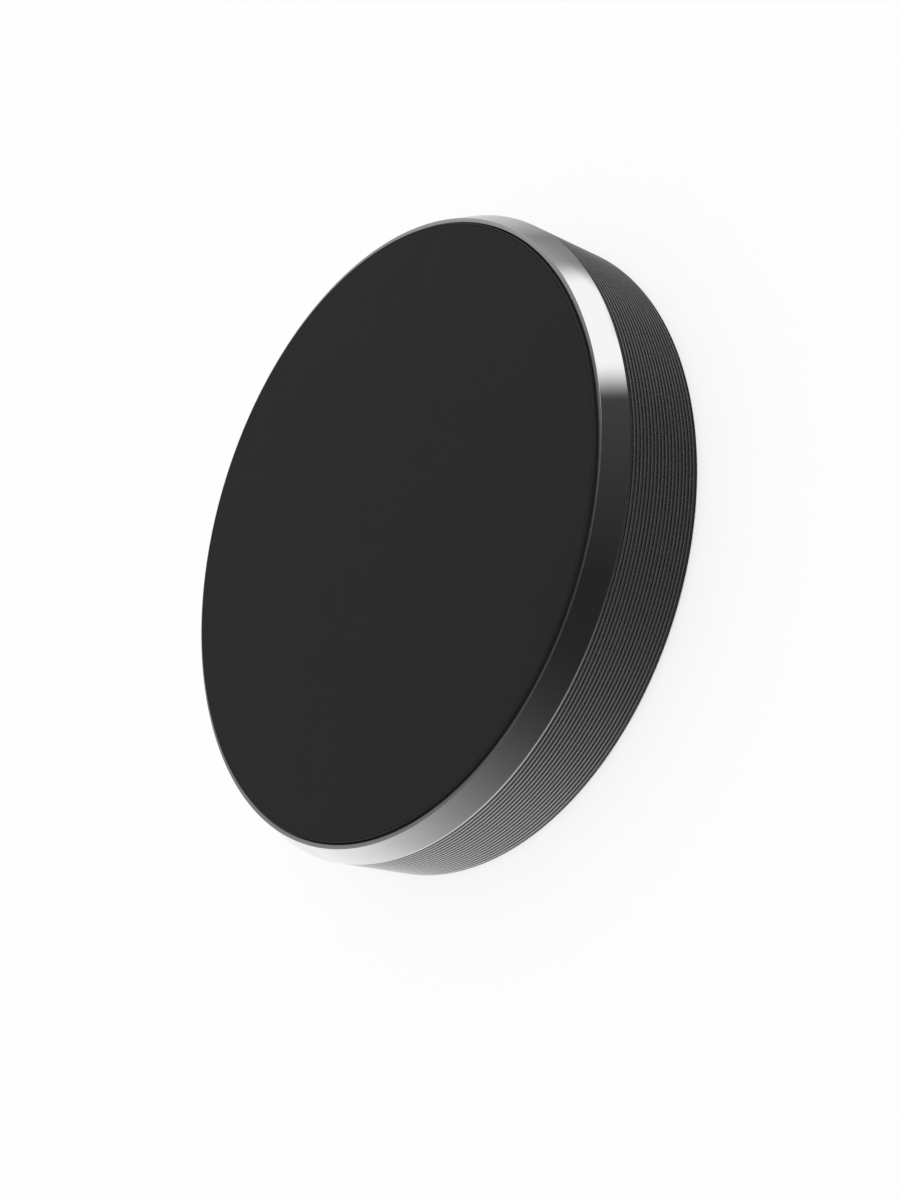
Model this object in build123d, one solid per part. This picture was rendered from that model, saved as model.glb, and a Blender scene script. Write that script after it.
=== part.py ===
from build123d import *
import math
import os

# Flat round magnetic phone mount, in millimetres, lying on its back.
# +Z points out of the phone face. The origin is at the centre of the back, on the release liner.

# Casing, a turned aluminium cup that is open towards the phone
outer_radius = 20.0
bevel_width = 0.7  # across the polished bevel, measured along the radius
bevel_height = 1.4
rim_width = 0.3  # flat ring between the bevel and the mouth
mouth_chamfer = 0.05  # taken off the inner edge of the rim
floor_thickness = 0.7
back_edge_break = 0.1

# Ring grooves turned into the side wall, with sharp crests
top_land = 0.1  # plain wall kept between the bevel and the first groove
groove_pitch = 0.266
groove_depth = 0.05
back_band = 0.2  # plain wall kept behind the last groove

# Silicone pad on the phone side
pad_thickness = 1.0
pad_proud = 0.2  # how far the pad stands out of the rim
pad_edge_radius = 0.1
pad_clearance = 0.05  # around the pad, to the mouth of the casing
film_thickness = 0.1  # double-sided film under the pad and under the yoke plate
film_inset = 0.3  # the films are cut smaller than what they hold

# Magnets, in a ring
magnet_count = 6
magnet_diameter = 8.0
magnet_thickness = 3.0
magnet_edge_break = 0.15
magnet_clearance = 0.05  # around each magnet, in its pocket

# Moulded tray that holds the magnets
tray_clearance = 0.1  # around the tray, in the casing
tray_skirt = 1.5  # wall of the tray around the yoke plate
tray_web = 0.4  # skin over the front of the magnets
tray_edge_chamfer = 0.4
pocket_margin = 0.8  # from the yoke plate's edge to the magnet pockets
hub_wall = 1.6  # around the hollow in the middle of the tray

# Steel yoke plate, with notches that sit on keys inside the tray's skirt
yoke_thickness = 1.0
yoke_clearance = 0.1  # around the yoke plate, in the tray
key_count = 2
key_radius = 1.0
key_clearance = 0.1

# Foam adhesive and its liner on the back
foam_diameter = 36.0
foam_thickness = 0.8
foam_recess_depth = 0.4
foam_clearance = 0.2  # around the foam, in the recess of the casing
liner_thickness = 0.1
tab_width = 8.0
tab_inset = 0.4  # from the tab's end to the casing's outline
tab_corner_radius = 1.0

# Radii that follow from the sizes above
bore_radius = outer_radius - bevel_width - rim_width
pad_radius = bore_radius - pad_clearance
tray_radius = bore_radius - tray_clearance
yoke_seat_radius = tray_radius - tray_skirt
yoke_radius = yoke_seat_radius - yoke_clearance
pocket_radius = magnet_diameter / 2 + magnet_clearance
magnet_ring_radius = yoke_radius - pocket_margin - pocket_radius
hub_radius = magnet_ring_radius - pocket_radius - hub_wall
foam_radius = foam_diameter / 2

# Heights of the stack, from the back to the phone face
foam_z = liner_thickness
recess_z = foam_z + foam_thickness
back_z = recess_z - foam_recess_depth
floor_z = recess_z + floor_thickness
yoke_z = floor_z + film_thickness
magnet_z = yoke_z + yoke_thickness
web_z = magnet_z + magnet_thickness
tray_top_z = web_z + tray_web
pad_z = tray_top_z + film_thickness
face_z = pad_z + pad_thickness
rim_z = face_z - pad_proud
wall_top_z = rim_z - bevel_height
grooves_top_z = wall_top_z - top_land
groove_count = int((grooves_top_z - back_z - back_band) / groove_pitch)


def disc(radius, bottom, thickness):
    """Flat round plate that starts at the height bottom."""
    return Pos(0, 0, bottom) * Cylinder(radius, thickness, align=(Align.CENTER, Align.CENTER, Align.MIN))


def ring_of(count, radius, first_angle=0.0):
    """Places around the axis, count of them, each turned to face outwards."""
    return PolarLocations(radius, count, start_angle=first_angle)


def casing():
    """Cup turned from bar: mouth, rim, bevel, grooved wall and the recess for the foam."""
    recess_radius = foam_radius + foam_clearance
    inside = [
        (0, recess_z),
        (0, floor_z),
        (bore_radius, floor_z),
        (bore_radius, rim_z - mouth_chamfer),
        (bore_radius + mouth_chamfer, rim_z),
        (outer_radius - bevel_width, rim_z),
        (outer_radius, wall_top_z),
        (outer_radius, grooves_top_z),
    ]
    grooves = []
    for groove in range(groove_count):
        crest_z = grooves_top_z - groove * groove_pitch
        grooves.append((outer_radius - groove_depth, crest_z - groove_pitch / 2))
        grooves.append((outer_radius, crest_z - groove_pitch))
    back = [
        (outer_radius, back_z + back_edge_break),
        (outer_radius - back_edge_break, back_z),
        (recess_radius, back_z),
        (recess_radius, recess_z),
    ]
    outline = [(radius, 0, height) for radius, height in inside + grooves + back]
    return revolve(make_face(Polyline(*outline, close=True)), Axis.Z)


def front_pad():
    """Silicone disc with a rounded edge, the face that the phone rests on."""
    pad = disc(pad_radius, pad_z, pad_thickness)
    return fillet(pad.edges().group_by(Axis.Z)[-1], pad_edge_radius)


def pad_adhesive():
    """Film between the tray and the pad."""
    return disc(tray_radius - film_inset - tray_edge_chamfer, tray_top_z, film_thickness)


def magnet_tray():
    """Moulded disc with pockets, a hollow middle and a seat for the yoke plate, all open at the back."""
    tray = disc(tray_radius, yoke_z, tray_top_z - yoke_z)
    tray = chamfer(tray.edges().group_by(Axis.Z)[-1], tray_edge_chamfer)
    keys = Part() + [place * disc(key_radius, yoke_z, yoke_thickness) for place in key_places()]
    tray -= disc(yoke_seat_radius, yoke_z, yoke_thickness) - keys
    pocket = disc(pocket_radius, magnet_z, magnet_thickness)
    tray -= [place * pocket for place in magnet_places()]
    return tray - disc(hub_radius, magnet_z, magnet_thickness)


def magnet_places():
    """Middle of each magnet, between the keys."""
    return ring_of(magnet_count, magnet_ring_radius, 180 / magnet_count)


def key_places():
    """Middle of each key, on the edge of the yoke plate's seat."""
    return ring_of(key_count, yoke_seat_radius)


def magnet():
    """Plated round magnet with broken edges, before it is placed in its pocket."""
    body = disc(magnet_diameter / 2, magnet_z, magnet_thickness)
    return chamfer(body.edges().filter_by(GeomType.CIRCLE), magnet_edge_break)


def yoke_plate():
    """Stamped steel disc with a notch for each key of the tray."""
    notch = disc(key_radius + key_clearance, yoke_z, yoke_thickness)
    return disc(yoke_radius, yoke_z, yoke_thickness) - [place * notch for place in key_places()]


def yoke_adhesive():
    """Film between the casing's floor and the tray with its yoke plate."""
    return disc(tray_radius - film_inset, floor_z, film_thickness)


def foam_adhesive():
    """Foam disc that sits in the recess and stands proud of the casing's back."""
    return disc(foam_radius, foam_z, foam_thickness)


def release_liner():
    """Film over the foam, with a rounded tab that stays inside the casing's outline."""
    tab_reach = outer_radius - tab_inset
    tab = Pos(0, tab_reach / 2, 0) * Rectangle(tab_width, tab_reach)
    tab = fillet(tab.vertices().group_by(Axis.Y)[-1], tab_corner_radius)
    return extrude(Circle(foam_radius) + tab, liner_thickness)


parts = {
    "casing": casing(),
    "front_pad": front_pad(),
    "pad_adhesive": pad_adhesive(),
    "magnet_tray": magnet_tray(),
    "yoke_plate": yoke_plate(),
    "yoke_adhesive": yoke_adhesive(),
    "foam_adhesive": foam_adhesive(),
    "release_liner": release_liner(),
}
for number, place in enumerate(magnet_places(), start=1):
    parts[f"magnet_{number}"] = place * magnet()

os.makedirs("parts", exist_ok=True)
for name, part in parts.items():
    export_step(part, f"parts/{name}.step")
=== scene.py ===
import math

import bmesh
import bpy
from mathutils import Matrix, Vector, noise

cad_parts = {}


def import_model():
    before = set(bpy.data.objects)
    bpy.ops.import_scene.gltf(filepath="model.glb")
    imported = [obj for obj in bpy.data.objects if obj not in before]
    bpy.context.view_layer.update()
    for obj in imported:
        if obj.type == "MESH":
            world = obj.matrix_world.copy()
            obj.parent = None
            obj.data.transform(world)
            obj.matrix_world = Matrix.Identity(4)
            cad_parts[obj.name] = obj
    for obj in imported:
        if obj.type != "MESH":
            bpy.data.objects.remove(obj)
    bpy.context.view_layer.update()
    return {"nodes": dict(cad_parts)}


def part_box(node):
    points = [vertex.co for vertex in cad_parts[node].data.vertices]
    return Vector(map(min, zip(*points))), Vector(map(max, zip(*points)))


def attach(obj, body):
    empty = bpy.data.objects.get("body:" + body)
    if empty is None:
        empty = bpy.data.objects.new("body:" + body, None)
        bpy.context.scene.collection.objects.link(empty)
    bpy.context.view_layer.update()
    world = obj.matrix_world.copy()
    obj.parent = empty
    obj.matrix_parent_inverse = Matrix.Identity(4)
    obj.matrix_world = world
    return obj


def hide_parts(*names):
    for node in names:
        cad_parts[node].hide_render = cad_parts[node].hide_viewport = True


# Looks of the flat round phone mount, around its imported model. Metres, +Z out of the phone face.

MM = 0.001
AROUND = 256  # steps around the axis on every turned piece
ON_AXIS = 1e-6  # millimetres from the axis, below which a ring is a single point
SHARP_ANGLE = 32  # degrees between two faces, above which their edge isn't smoothed

# Turned casing, in millimetres. Its sizes are the solid's, and its heights come from the frame.
OUTER_RADIUS = 20.0
BEVEL_WIDTH = 0.7
BEVEL_HEIGHT = 1.4
RIM_WIDTH = 0.3
MOUTH_CHAMFER = 0.05
BORE_RADIUS = OUTER_RADIUS - BEVEL_WIDTH - RIM_WIDTH
FLOOR_THICKNESS = 0.7
TOP_LAND = 0.1  # plain wall between the bevel and the first groove
GROOVE_PITCH = 0.266
GROOVE_COUNT = 18
GROOVE_DEPTH = 0.05
RECESS_DEPTH = 0.4
RECESS_RADIUS = 18.2

# Rounds that a cutting tool leaves on the casing, in millimetres. The solid has none of them.
CREST_ROUND = 0.05
ROOT_ROUND = 0.03
SHOULDER_ROUND = 0.045  # between the bevel and the side wall
EDGE_ROUND = 0.03
BACK_ROUND = 0.02  # where the solid has a larger broken edge
CHAMFER_ROUND = 0.015
RECESS_ROUND = 0.05
FLOOR_ROUND = 0.1

# Slots of the casing's materials, and where they change on the wall and the rim
WALL, BEVEL, RIM, BACK = range(4)
RIM_DEPTH = 2 * MOUTH_CHAMFER  # how far the rim's metal reaches into the mouth, in millimetres
CREST_LIGHT_FROM = 0.75  # of the groove's depth, counted from the crest, where painted shade in the root starts turning into a painted highlight on the crest
CREST_LIGHT_TO = 0.15
RIM_SHADE = 0.5  # of the rim's width, over which painted shade darkens it towards the mouth

# Pad, in millimetres. Its face falls a little towards its edge, which is glossier, and painted shade makes
# the edge blacker.
PAD_EDGE_ROUND = 0.07
PAD_BACK_ROUND = 0.05
PAD_ROUND_STEPS = 8
PAD_FALL = 0.012
PAD_FALL_WIDTH = 0.4
PAD_FALL_ROUND = 1.0
PAD_SHADED_EDGE_WIDTH = 0.22
PAD_GLOSS_WIDTH = 0.75 * PAD_EDGE_ROUND
PAD_FACE_GLOSS = 0.06
PAD_EDGE_GLOSS = 0.36

# Foam disc, in millimetres
FOAM_CELL = 0.25
FOAM_UNEVEN = 0.04
FOAM_STEPS = 6

# Crystals of the zinc plating, in millimetres
ZINC_SPANGLE = 1.2

# Depth of the relief in the materials, in millimetres
FINE_RELIEF = 0.01
FOAM_RELIEF = 0.04

# Lamp and world. Together they light the floor by 1.
WORLD_SHARE = 0.2  # of that light, the rest is the sun's
SUN_ELEVATION = 42  # degrees
SUN_SPREAD = 20  # degrees
FLOOR_SIZE = 3.0  # metres

# Cards that only gloss sees, in metres, and the least level of each part, where 1 is white
SURROUND_RADIUS = 1.0
ROOF_RADIUS = 0.06
ROOF_EDGE = 0.028  # height where the roof starts
CARD_STEPS = 48  # from the lowest to the highest point of a whole sphere
LEAST_ABOVE = 0.021
LEAST_BELOW = 0.045
LEAST_ROOF = 0.022

# Camera, from a perspective fit to the photograph, in millimetres and degrees
CAMERA_PLACE = (-2.934, -84.929, 64.339)
CAMERA_DOWN = 37.13  # how far it looks down, towards +Y
CAMERA_ROLL = 74.10  # turned clockwise about its own line of sight
CAMERA_LENS = 51.18
CAMERA_SENSOR = 36  # long side
CAMERA_NEAR = 0.001  # nearest and farthest that it sees, in metres
CAMERA_FAR = 20


def rounded(corners, steps=4):
    """Points along a line of (radius, height, round) corners. A corner with a round becomes an arc."""
    points = []
    for index, (x, y, size) in enumerate(corners):
        here = Vector((x, y))
        if size <= 0 or index in (0, len(corners) - 1):
            points.append((x, y))
            continue
        before = (Vector(corners[index - 1][:2]) - here).normalized()
        after = (Vector(corners[index + 1][:2]) - here).normalized()
        half = before.angle(after) / 2
        reach = size / math.tan(half)
        centre = here + (before + after).normalized() * (size / math.sin(half))
        start = here + before * reach - centre
        turn = start.angle_signed(here + after * reach - centre)
        for step in range(steps + 1):
            arm = start.copy()
            arm.rotate(Matrix.Rotation(-turn * step / steps, 2))
            points.append(tuple(centre + arm))
    return points


def ring(build, radius, height):
    """Ring of vertices around the axis, or one vertex on it, from millimetres."""
    if radius < ON_AXIS:
        return [build.verts.new((0, 0, height * MM))]
    angles = [2 * math.pi * step / AROUND for step in range(AROUND)]
    places = [(radius * MM * math.cos(a), radius * MM * math.sin(a), height * MM) for a in angles]
    return [build.verts.new(place) for place in places]


def middle(points, index):
    """Radius and height halfway between a point of the line and the next one."""
    return tuple((here + after) / 2 for here, after in zip(points[index], points[index + 1]))


def placed(item):
    """The same item, put into the scene."""
    bpy.context.scene.collection.objects.link(item)
    return item


def turned(name, points, slot_of=None):
    """Piece that a line of (radius, height) points in millimetres sweeps around the axis.

    slot_of gives a face's material slot from the radius and height of its middle.
    """
    mesh = bpy.data.meshes.new(name)
    build = bmesh.new()
    rings = [ring(build, radius, height) for radius, height in points]
    for index, (low, high) in enumerate(zip(rings, rings[1:])):
        slot = slot_of(*middle(points, index)) if slot_of else 0
        for step in range(AROUND):
            after = (step + 1) % AROUND
            if len(low) == 1:
                corners = (low[0], high[after], high[step])
            elif len(high) == 1:
                corners = (low[step], low[after], high[0])
            else:
                corners = (low[step], low[after], high[after], high[step])
            face = build.faces.new(corners)
            face.smooth = True
            face.material_index = slot
    bmesh.ops.recalc_face_normals(build, faces=build.faces)
    build.to_mesh(mesh)
    build.free()
    mesh.set_sharp_from_angle(angle=math.radians(SHARP_ANGLE))
    return placed(bpy.data.objects.new(name, mesh))


def new_material(name):
    """New material, with its node tree and its shader."""
    material = bpy.data.materials.new(name)
    material.use_nodes = True
    shader = material.node_tree.nodes["Principled BSDF"]
    return material, material.node_tree, shader


def object_place(tree):
    """Place on the object, in metres."""
    return tree.nodes.new("ShaderNodeTexCoord").outputs["Object"]


def combine(tree, operation, *values):
    """One maths node on values or numbers."""
    node = tree.nodes.new("ShaderNodeMath")
    node.operation = operation
    for socket, value in zip(node.inputs, values):
        if isinstance(value, (int, float)):
            socket.default_value = value
        else:
            tree.links.new(value, socket)
    return node.outputs["Value"]


def times(tree, first, *others):
    """Product of values or numbers."""
    for other in others:
        first = combine(tree, "MULTIPLY", first, other)
    return first


def plus(tree, first, second):
    """Sum of two values or numbers."""
    return combine(tree, "ADD", first, second)


def sweep(tree, value, start, end, power=1):
    """Goes from 0 to 1 while a value goes from start to end, raised to a power."""
    ramp = tree.nodes.new("ShaderNodeMapRange")
    ramp.inputs["From Min"].default_value = start
    ramp.inputs["From Max"].default_value = end
    tree.links.new(value, ramp.inputs["Value"])
    if power == 1:
        return ramp.outputs["Result"]
    return combine(tree, "POWER", ramp.outputs["Result"], power)


def ease(tree, value, start, end):
    """Goes from 0 to 1 while a value goes from start to end, slowly at both ends."""
    ramp = sweep(tree, value, start, end)
    ramp.node.interpolation_type = "SMOOTHSTEP"
    return ramp


def spread(tree, share, low, high, full=1.0):
    """Goes from low to high while a share goes from 0 to full."""
    node = tree.nodes.new("ShaderNodeMapRange")
    node.inputs["From Max"].default_value = full
    node.inputs["To Min"].default_value = low
    node.inputs["To Max"].default_value = high
    tree.links.new(share, node.inputs["Value"])
    return node.outputs["Result"]


def blend(tree, share, first, second):
    """Colour between two, by a share between 0 and 1."""
    mix = tree.nodes.new("ShaderNodeMix")
    mix.data_type = "RGBA"
    for socket, value in (("A", first), ("B", second)):
        if isinstance(value, tuple):
            mix.inputs[socket].default_value = value
        else:
            tree.links.new(value, mix.inputs[socket])
    tree.links.new(share, mix.inputs["Factor"])
    return mix.outputs["Result"]


def tone(*values):
    """Linear colour for one display value, or three, between 0 and 255."""
    levels = [value / 255 for value in (values if len(values) == 3 else values * 3)]
    return (*(v / 12.92 if v <= 0.04045 else ((v + 0.055) / 1.055) ** 2.4 for v in levels), 1)


def grain(tree, scale, low, high, detail=4.0):
    """Noise over the object, in cells per metre, spread between two values."""
    pattern = tree.nodes.new("ShaderNodeTexNoise")
    pattern.inputs["Scale"].default_value = scale
    pattern.inputs["Detail"].default_value = detail
    tree.links.new(object_place(tree), pattern.inputs["Vector"])
    return spread(tree, pattern.outputs["Fac"], low, high)


def turning_marks(tree, low, high):
    """Fine rings that the cutting tool leaves, spread between two values."""
    split = tree.nodes.new("ShaderNodeSeparateXYZ")
    joined = tree.nodes.new("ShaderNodeCombineXYZ")
    pattern = tree.nodes.new("ShaderNodeTexNoise")
    pattern.inputs["Scale"].default_value = 1.0
    tree.links.new(object_place(tree), split.inputs["Vector"])
    for axis, cells_per_metre in zip("XYZ", (150, 150, 16000)):
        tree.links.new(times(tree, split.outputs[axis], cells_per_metre), joined.inputs[axis])
    tree.links.new(joined.outputs["Vector"], pattern.inputs["Vector"])
    return spread(tree, pattern.outputs["Fac"], low, high)


def cells(tree, size, low, high):
    """Small cells of a size in millimetres, from low at their edges to high in their middles."""
    pattern = tree.nodes.new("ShaderNodeTexVoronoi")
    pattern.feature = "DISTANCE_TO_EDGE"
    pattern.inputs["Scale"].default_value = 1 / (size * MM)
    tree.links.new(object_place(tree), pattern.inputs["Vector"])
    return spread(tree, pattern.outputs["Distance"], low, high, full=0.4)


def radius_mask(tree, start, end):
    """Goes from 0 to 1 between two distances from the axis, in millimetres."""
    flat = tree.nodes.new("ShaderNodeVectorMath")
    flat.operation = "MULTIPLY"
    flat.inputs[1].default_value = (1, 1, 0)
    radius = tree.nodes.new("ShaderNodeVectorMath")
    radius.operation = "LENGTH"
    tree.links.new(object_place(tree), flat.inputs[0])
    tree.links.new(flat.outputs["Vector"], radius.inputs[0])
    return sweep(tree, radius.outputs["Value"], start * MM, end * MM)


def bump(tree, shader, height, strength, depth=FINE_RELIEF):
    """Raises the surface by a height between 0 and 1, times a depth in millimetres."""
    node = tree.nodes.new("ShaderNodeBump")
    node.inputs["Strength"].default_value = strength
    node.inputs["Distance"].default_value = depth * MM
    tree.links.new(height, node.inputs["Height"])
    tree.links.new(node.outputs["Normal"], shader.inputs["Normal"])


def wall_material():
    """Black anodised metal, with a painted highlight on the crests of the grooves and painted shade in
    their roots.
    """
    material, tree, shader = new_material("anodised_wall")
    crest_light_from = OUTER_RADIUS - GROOVE_DEPTH * CREST_LIGHT_FROM
    crest_light_to = OUTER_RADIUS - GROOVE_DEPTH * CREST_LIGHT_TO
    # The crest mask paints a lighter, more metallic highlight on the crests and darker shade in the roots
    # of the grooves.
    crest = radius_mask(tree, crest_light_from, crest_light_to)
    crest_highlight = blend(tree, grain(tree, 400, 0, 1), tone(200), tone(210))
    tree.links.new(blend(tree, crest, tone(43), crest_highlight), shader.inputs["Base Color"])
    tree.links.new(combine(tree, "MULTIPLY_ADD", crest, 0.23, 0.76), shader.inputs["Metallic"])
    tree.links.new(grain(tree, 3000, 0.22, 0.3), shader.inputs["Roughness"])
    return material


def back_material():
    """Black anodised metal of the plain band and the back, without the painted crest highlight and root
    shade.
    """
    material, tree, shader = new_material("anodised_back")
    colour = blend(tree, grain(tree, 400, 0, 1), tone(70), tone(76))
    tree.links.new(colour, shader.inputs["Base Color"])
    shader.inputs["Metallic"].default_value = 0.8
    tree.links.new(grain(tree, 3000, 0.22, 0.3), shader.inputs["Roughness"])
    return material


def bevel_material():
    """Diamond-cut bright metal, with faint turning marks."""
    material, tree, shader = new_material("polished_bevel")
    colour = blend(tree, turning_marks(tree, 0, 1), tone(237), tone(242))
    tree.links.new(colour, shader.inputs["Base Color"])
    shader.inputs["Metallic"].default_value = 1.0
    tree.links.new(turning_marks(tree, 0.05, 0.08), shader.inputs["Roughness"])
    return material


def rim_material():
    """Satin metal, with painted shade that darkens it towards the mouth, beside the pad."""
    material, tree, shader = new_material("satin_rim")
    outward = radius_mask(tree, BORE_RADIUS, BORE_RADIUS + RIM_WIDTH * RIM_SHADE)
    # Painted shade: the rim is darker at the mouth and lighter further out.
    tree.links.new(blend(tree, outward, tone(135), tone(158)), shader.inputs["Base Color"])
    shader.inputs["Metallic"].default_value = 1.0
    tree.links.new(grain(tree, 3000, 0.3, 0.4), shader.inputs["Roughness"])
    return material


def silicone_material(name, radius, gloss):
    """Matt silicone, with painted shade that makes it blacker towards the edge of the pad."""
    material, tree, shader = new_material(name)
    edge = radius_mask(tree, radius - PAD_SHADED_EDGE_WIDTH, radius)
    face = blend(tree, grain(tree, 300, 0, 1), tone(39), tone(41))
    # Painted shade: the face's tone falls to a blacker one at the pad's edge.
    tree.links.new(blend(tree, edge, face, tone(30)), shader.inputs["Base Color"])
    shader.inputs["Specular IOR Level"].default_value = gloss
    tree.links.new(grain(tree, 2500, 0.55, 0.7), shader.inputs["Roughness"])
    bump(tree, shader, grain(tree, 9000, 0, 1), 0.3)
    return material


def foam_material():
    """Dark closed-cell foam."""
    material, tree, shader = new_material("foam")
    colour = blend(tree, cells(tree, FOAM_CELL, 0, 1), tone(86), tone(70))
    tree.links.new(colour, shader.inputs["Base Color"])
    shader.inputs["Specular IOR Level"].default_value = 0.3
    tree.links.new(grain(tree, 2000, 0.75, 0.9), shader.inputs["Roughness"])
    bump(tree, shader, cells(tree, FOAM_CELL, 1, 0), 0.6, FOAM_RELIEF)
    return material


def tray_material():
    """Black moulded plastic with a fine spark-eroded grain."""
    material, tree, shader = new_material("tray_plastic")
    colour = blend(tree, grain(tree, 500, 0, 1), tone(52), tone(60))
    tree.links.new(colour, shader.inputs["Base Color"])
    tree.links.new(grain(tree, 1500, 0.4, 0.55), shader.inputs["Roughness"])
    bump(tree, shader, grain(tree, 8000, 0, 1), 0.25)
    return material


def film_material():
    """White double-sided film, a little mottled by its glue."""
    material, tree, shader = new_material("adhesive_film")
    colour = blend(tree, grain(tree, 600, 0, 1), tone(222, 221, 214), tone(233, 232, 226))
    tree.links.new(colour, shader.inputs["Base Color"])
    tree.links.new(grain(tree, 1200, 0.3, 0.5), shader.inputs["Roughness"])
    bump(tree, shader, grain(tree, 1500, 0, 1), 0.1)
    return material


def nickel_material():
    """Bright nickel plating with a faint haze."""
    material, tree, shader = new_material("nickel_plating")
    colour = blend(tree, grain(tree, 900, 0, 1), tone(214, 211, 204), tone(226, 223, 217))
    tree.links.new(colour, shader.inputs["Base Color"])
    shader.inputs["Metallic"].default_value = 1.0
    tree.links.new(grain(tree, 1800, 0.12, 0.24), shader.inputs["Roughness"])
    return material


def zinc_material():
    """Zinc plating on stamped steel, with a fine spangle."""
    material, tree, shader = new_material("zinc_plating")
    colour = blend(tree, cells(tree, ZINC_SPANGLE, 0, 1), tone(188, 190, 194), tone(204, 206, 210))
    tree.links.new(colour, shader.inputs["Base Color"])
    shader.inputs["Metallic"].default_value = 1.0
    tree.links.new(grain(tree, 2500, 0.28, 0.42), shader.inputs["Roughness"])
    return material


def liner_material():
    """Pale waxed paper, with its fibres."""
    material, tree, shader = new_material("liner_film")
    fibres = grain(tree, 350, 0, 1, detail=8.0)
    colour = blend(tree, fibres, tone(232, 230, 220), tone(244, 243, 236))
    tree.links.new(colour, shader.inputs["Base Color"])
    tree.links.new(grain(tree, 900, 0.25, 0.4), shader.inputs["Roughness"])
    bump(tree, shader, grain(tree, 2500, 0, 1, detail=8.0), 0.15)
    return material


def casing():
    """Casing with its small rounds, and a material for each kind of turned surface."""
    low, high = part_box("casing")
    back, rim = low.z / MM, high.z / MM
    wall_top = rim - BEVEL_HEIGHT
    recess_top = back + RECESS_DEPTH
    inner_floor = recess_top + FLOOR_THICKNESS
    corners = [
        (0, inner_floor, 0),
        (BORE_RADIUS, inner_floor, FLOOR_ROUND),
        (BORE_RADIUS, rim - MOUTH_CHAMFER, CHAMFER_ROUND),
        (BORE_RADIUS + MOUTH_CHAMFER, rim, CHAMFER_ROUND),
        (OUTER_RADIUS - BEVEL_WIDTH, rim, EDGE_ROUND),
        (OUTER_RADIUS, wall_top, SHOULDER_ROUND),
        (OUTER_RADIUS, wall_top - TOP_LAND, EDGE_ROUND),
    ]
    for groove in range(1, GROOVE_COUNT + 1):
        crest = wall_top - TOP_LAND - groove * GROOVE_PITCH
        corners.append((OUTER_RADIUS - GROOVE_DEPTH, crest + GROOVE_PITCH / 2, ROOT_ROUND))
        corners.append((OUTER_RADIUS, crest, CREST_ROUND))
    corners += [
        (OUTER_RADIUS, back, BACK_ROUND),
        (RECESS_RADIUS, back, EDGE_ROUND),
        (RECESS_RADIUS, recess_top, RECESS_ROUND),
        (0, recess_top, 0),
    ]
    last_crest = crest

    def slot_of(radius, height):
        if height > wall_top - SHOULDER_ROUND / 2 and radius > OUTER_RADIUS - BEVEL_WIDTH:
            return BEVEL
        if height > rim - RIM_DEPTH and radius > BORE_RADIUS - EDGE_ROUND:
            return RIM
        if height < last_crest - EDGE_ROUND:
            return BACK
        return WALL

    piece = turned("casing_turned", rounded(corners), slot_of)
    for material in (wall_material(), bevel_material(), rim_material(), back_material()):
        piece.data.materials.append(material)
    return piece


def front_pad():
    """Silicone pad, with a material for its face and one for its rounded edge."""
    low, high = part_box("front_pad")
    radius, bottom, top = high.x / MM, low.z / MM, high.z / MM
    corners = [
        (0, bottom, 0),
        (radius, bottom, PAD_BACK_ROUND),
        (radius, top - PAD_FALL, PAD_EDGE_ROUND),
        (radius - PAD_FALL_WIDTH, top, PAD_FALL_ROUND),
        (0, top, 0),
    ]

    def slot_of(distance, height):
        return int(distance > radius - PAD_GLOSS_WIDTH)

    piece = turned("front_pad_soft", rounded(corners, PAD_ROUND_STEPS), slot_of)
    piece.data.materials.append(silicone_material("silicone_face", radius, PAD_FACE_GLOSS))
    piece.data.materials.append(silicone_material("silicone_edge", radius, PAD_EDGE_GLOSS))
    return piece


def foam():
    """Foam disc, cut through its cells at the edge, so the edge is a little uneven."""
    low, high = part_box("foam_adhesive")
    radius, bottom, top = high.x / MM, low.z / MM, high.z / MM
    edge = radius - FOAM_UNEVEN
    side = [(edge, bottom + (top - bottom) * step / FOAM_STEPS) for step in range(FOAM_STEPS + 1)]
    piece = turned("foam_disc", [(0, bottom), *side, (0, top)])
    for vertex in piece.data.vertices:
        place = vertex.co / MM
        if math.hypot(place.x, place.y) < radius / 2:
            continue
        outward = Vector((place.x, place.y, 0)).normalized()
        vertex.co += outward * noise.noise(place / FOAM_CELL) * FOAM_UNEVEN * MM
    piece.data.materials.append(foam_material())
    return piece


def dress(node, material):
    """Gives a carried-over node its material."""
    piece = frame["nodes"][node]
    piece.data.materials.clear()
    piece.data.materials.append(material)


def camera():
    """Camera at the photograph's viewing angle."""
    data = bpy.data.cameras.new("camera")
    data.lens = CAMERA_LENS
    data.sensor_width = CAMERA_SENSOR
    data.sensor_height = CAMERA_SENSOR
    data.sensor_fit = "AUTO"
    data.clip_start = CAMERA_NEAR
    data.clip_end = CAMERA_FAR
    item = placed(bpy.data.objects.new("camera", data))
    tilt = Matrix.Rotation(math.radians(90 - CAMERA_DOWN), 4, "X")
    roll = Matrix.Rotation(math.radians(-CAMERA_ROLL), 4, "Z")
    item.matrix_world = Matrix.Translation(Vector(CAMERA_PLACE) * MM) @ tilt @ roll
    bpy.context.scene.camera = item


def directions(tree):
    """Azimuth and elevation on the surround, in degrees, and the height in metres.

    The azimuth is 0 at -Y, 90 at -X and -90 at +X.
    """
    split = tree.nodes.new("ShaderNodeSeparateXYZ")
    tree.links.new(object_place(tree), split.inputs["Vector"])
    left = times(tree, split.outputs["X"], -1)
    front = times(tree, split.outputs["Y"], -1)
    angle = combine(tree, "DEGREES", combine(tree, "ARCTAN2", left, front))
    rise = combine(tree, "ARCSINE", combine(tree, "DIVIDE", split.outputs["Z"], SURROUND_RADIUS))
    return angle, combine(tree, "DEGREES", rise), split.outputs["Z"]


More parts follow.
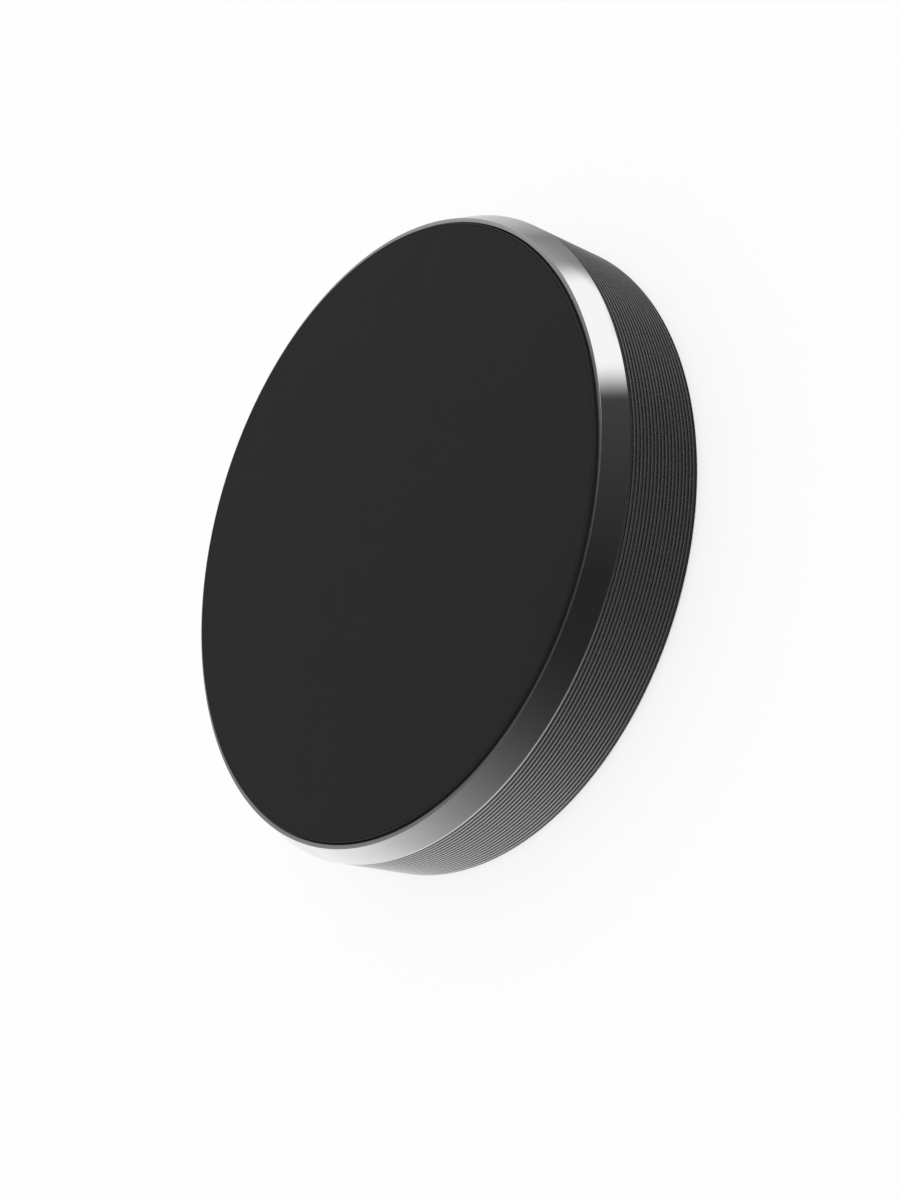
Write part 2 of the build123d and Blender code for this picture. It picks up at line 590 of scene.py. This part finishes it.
def card(name, points, level_of):
    """Turned card that only gloss sees.

    level_of gives its glow from the azimuth, the elevation and the height.
    """
    item = turned(name, points)
    material = bpy.data.materials.new(name)
    material.use_nodes = True
    material.cycles.emission_sampling = "NONE"
    tree = material.node_tree
    tree.nodes.clear()
    light = tree.nodes.new("ShaderNodeEmission")
    out = tree.nodes.new("ShaderNodeOutputMaterial")
    tree.links.new(light.outputs["Emission"], out.inputs["Surface"])
    tree.links.new(level_of(tree, *directions(tree)), light.inputs["Strength"])
    item.data.materials.append(material)
    item.visible_camera = False
    item.visible_diffuse = False
    item.visible_shadow = False
    item.visible_transmission = False
    return item


# In these levels the azimuths and elevations are in degrees, and every strength is a share of white.
def above_level(tree, angle):
    """Dark in front, growing slowly to white at the left and quickly at the right, greyer behind."""
    left = sweep(tree, angle, 0, 129, power=3.3)
    faint = times(tree, sweep(tree, angle, -5, -55), sweep(tree, angle, -180, -145), 0.03)
    right = plus(tree, ease(tree, angle, -57, -70), faint)
    grey = times(tree, ease(tree, angle, -98.5, -110.5), sweep(tree, angle, -135, -122), 0.72)
    behind = times(tree, sweep(tree, combine(tree, "ABSOLUTE", angle), 145, 172), 0.75)
    lit = combine(tree, "SUBTRACT", plus(tree, left, right), plus(tree, grey, behind))
    return plus(tree, lit, LEAST_ABOVE)


def below_level(tree, angle, rise):
    """Dark in front, growing pale to both sides and behind.

    Lower down it is paler at the left and darker at the right. Behind, the two sides meet.
    """
    near_left = times(tree, sweep(tree, angle, -8, 75, power=1.4), 0.48)
    far_left = times(tree, sweep(tree, angle, 95, 140), 0.4)
    lift = times(tree, sweep(tree, angle, 145, 100), sweep(tree, rise, -10, -28), 0.55)
    left = times(tree, plus(tree, near_left, far_left), plus(tree, lift, 1.0))
    near_right = times(tree, sweep(tree, angle, -60, -115, power=1.5), 0.23)
    far_right = sweep(tree, angle, -125, -165)
    drop = times(tree, sweep(tree, rise, -14, -38), sweep(tree, angle, -180, -150), -0.6)
    right = times(tree, plus(tree, near_right, far_right), plus(tree, drop, 1.0))
    sides = combine(tree, "MAXIMUM", left, combine(tree, "MINIMUM", right, 0.894))
    least = combine(tree, "MULTIPLY_ADD", sweep(tree, angle, -10, -60), -0.014, LEAST_BELOW)
    return plus(tree, sides, least)


def surround_level(tree, angle, rise, height):
    """What lies above the horizon, fading into what lies below it, which is dark straight down."""
    low = times(tree, below_level(tree, angle, rise), sweep(tree, rise, -65, -40))
    at_right = times(tree, sweep(tree, angle, -95, -80), sweep(tree, angle, 0, -30))
    lowered = combine(tree, "MULTIPLY_ADD", at_right, -5, rise)
    share = sweep(tree, lowered, -7, -13)
    high = times(tree, above_level(tree, angle), combine(tree, "SUBTRACT", 1.0, share))
    return combine(tree, "MULTIPLY_ADD", low, share, high)


def roof_level(tree, angle, rise, height):
    """Bright band behind, between a dark foot and a dark top, and dark in front."""
    fade_left = times(tree, sweep(tree, height, 56.5 * MM, 34 * MM), 0.95)
    faint = times(tree, sweep(tree, height, 58 * MM, 53 * MM), 0.25)
    fade_right = combine(tree, "MULTIPLY_ADD", ease(tree, height, 49 * MM, 33 * MM), 1.35, faint)
    left = times(tree, sweep(tree, angle, 5, 118, power=2.3), fade_left)
    apart = combine(tree, "SUBTRACT", fade_right, fade_left)
    right = combine(tree, "MULTIPLY_ADD", sweep(tree, angle, -180, -150), apart, fade_left)
    right = times(tree, right, sweep(tree, angle, -44, -56))
    sides = combine(tree, "MAXIMUM", left, right)
    lit = times(tree, sides, sweep(tree, height, ROOF_EDGE, 34 * MM))
    return combine(tree, "MAXIMUM", lit, LEAST_ROOF)


def arc(radius, lowest):
    """Half circle around the origin of (radius, height) points, down to a lowest height, in millimetres."""
    angles = [math.pi * (step / CARD_STEPS - 0.5) for step in range(CARD_STEPS + 1)]
    points = [(max(math.cos(a), 0) * radius, math.sin(a) * radius) for a in angles]
    return [point for point in points if point[1] >= lowest]


def surroundings():
    """Sphere far around the object, and a small roof over it."""
    far, near = SURROUND_RADIUS / MM, ROOF_RADIUS / MM
    sphere = card("surround_card", arc(far, -far), surround_level)
    roof = card("roof_card", arc(near, ROOF_EDGE / MM), roof_level)
    return sphere, roof


def key_light():
    """Soft sun from the camera's side, which gloss doesn't see."""
    data = bpy.data.lights.new("key", "SUN")
    data.energy = (1 - WORLD_SHARE) * math.pi / math.sin(math.radians(SUN_ELEVATION))
    data.angle = math.radians(SUN_SPREAD)
    item = placed(bpy.data.objects.new("key", data))
    item.rotation_euler = (math.radians(90 - SUN_ELEVATION), 0, 0)
    item.visible_glossy = False


def floor():
    """Pale plain floor under the mount."""
    bpy.ops.mesh.primitive_plane_add(size=FLOOR_SIZE, location=(0, 0, 0))
    item = bpy.context.object
    item.name = "floor"
    item.visible_glossy = False
    material, tree, shader = new_material("pale_floor")
    shader.inputs["Base Color"].default_value = tone(254)
    shader.inputs["Roughness"].default_value = 1.0
    shader.inputs["Specular IOR Level"].default_value = 0.0
    item.data.materials.append(material)
    return item


def world():
    """Even surroundings, white where the camera, metal or glass sees them."""
    item = bpy.data.worlds.new("studio")
    item.use_nodes = True
    tree = item.node_tree
    path = tree.nodes.new("ShaderNodeLightPath")
    seen = combine(tree, "MAXIMUM", path.outputs["Is Camera Ray"], path.outputs["Is Glossy Ray"])
    seen = combine(tree, "MAXIMUM", seen, path.outputs["Is Transmission Ray"])
    background = tree.nodes["Background"]
    background.inputs["Color"].default_value = (1, 1, 1, 1)
    strength = combine(tree, "MULTIPLY_ADD", seen, 1 - WORLD_SHARE, WORLD_SHARE)
    tree.links.new(strength, background.inputs["Strength"])
    bpy.context.scene.world = item


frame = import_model()

casing_piece = casing()
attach(casing_piece, "root")
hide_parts("casing")

pad_piece = front_pad()
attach(pad_piece, "root")
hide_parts("front_pad")

foam_piece = foam()
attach(foam_piece, "root")
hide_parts("foam_adhesive")

film = film_material()
nickel = nickel_material()
dress("pad_adhesive", film)
dress("yoke_adhesive", film)
dress("magnet_tray", tray_material())
dress("yoke_plate", zinc_material())
dress("release_liner", liner_material())
for node in frame["nodes"]:
    if node.startswith("magnet_") and node != "magnet_tray":
        dress(node, nickel)

camera()
floor()
for item in surroundings():
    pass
key_light()
world()
bpy.context.scene.view_settings.view_transform = "Standard"
